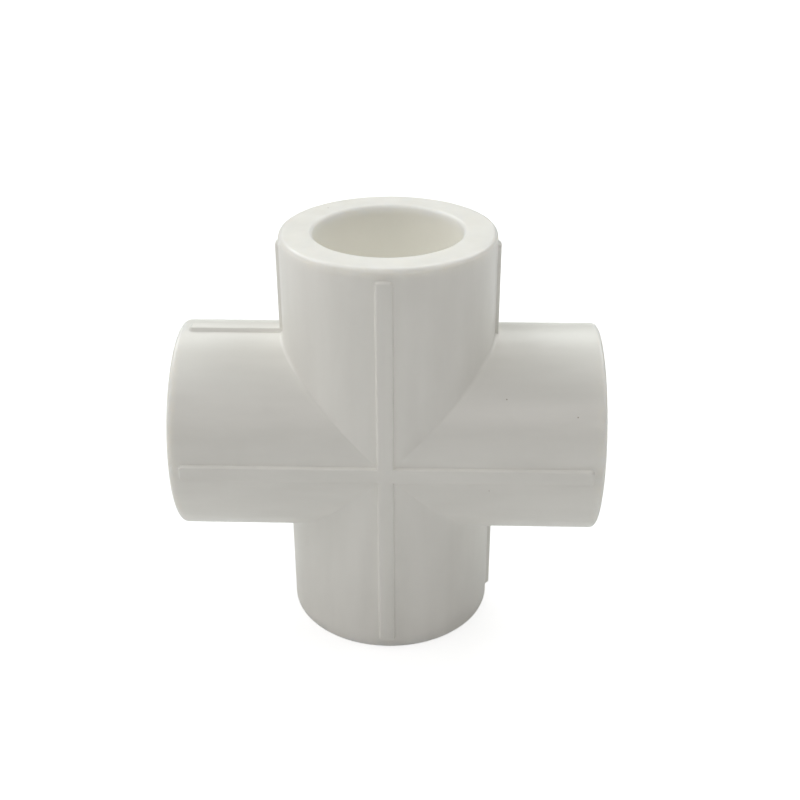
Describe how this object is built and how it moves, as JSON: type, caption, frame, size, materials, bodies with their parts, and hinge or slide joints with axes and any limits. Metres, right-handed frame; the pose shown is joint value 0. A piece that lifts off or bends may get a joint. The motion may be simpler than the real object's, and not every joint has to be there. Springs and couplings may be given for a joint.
{
  "type": "cross fitting",
  "caption": "Equal cross for plastic pressure pipe: straight arms in a common plane, each ending in a plain heat-fusion socket, with thin raised ribs along the arms.",
  "frame": {"origin": "where the axes of the vertical and the horizontal waterway cross", "axes": "+Z out of the top socket, +X out of the right socket, -Y out of the front of the fitting"},
  "size_m": [0.07, 0.0362, 0.07],
  "materials": {
    "white_polypropylene": "satin"
  },
  "bodies": {
    "root": {"centre_body": "white_polypropylene", "top_socket": "white_polypropylene", "right_socket": "white_polypropylene", "bottom_socket": "white_polypropylene", "left_socket": "white_polypropylene", "top_arm_front_rib": "white_polypropylene", "top_arm_back_rib": "white_polypropylene", "right_arm_front_rib": "white_polypropylene", "right_arm_back_rib": "white_polypropylene", "bottom_arm_front_rib": "white_polypropylene", "bottom_arm_back_rib": "white_polypropylene", "left_arm_front_rib": "white_polypropylene", "left_arm_back_rib": "white_polypropylene", "top_arm_left_rib": "white_polypropylene", "top_arm_right_rib": "white_polypropylene", "left_arm_top_rib": "white_polypropylene", "left_arm_bottom_rib": "white_polypropylene", "right_arm_bottom_rib": "white_polypropylene", "bottom_arm_right_rib": "white_polypropylene"}
  },
  "joints": []
}
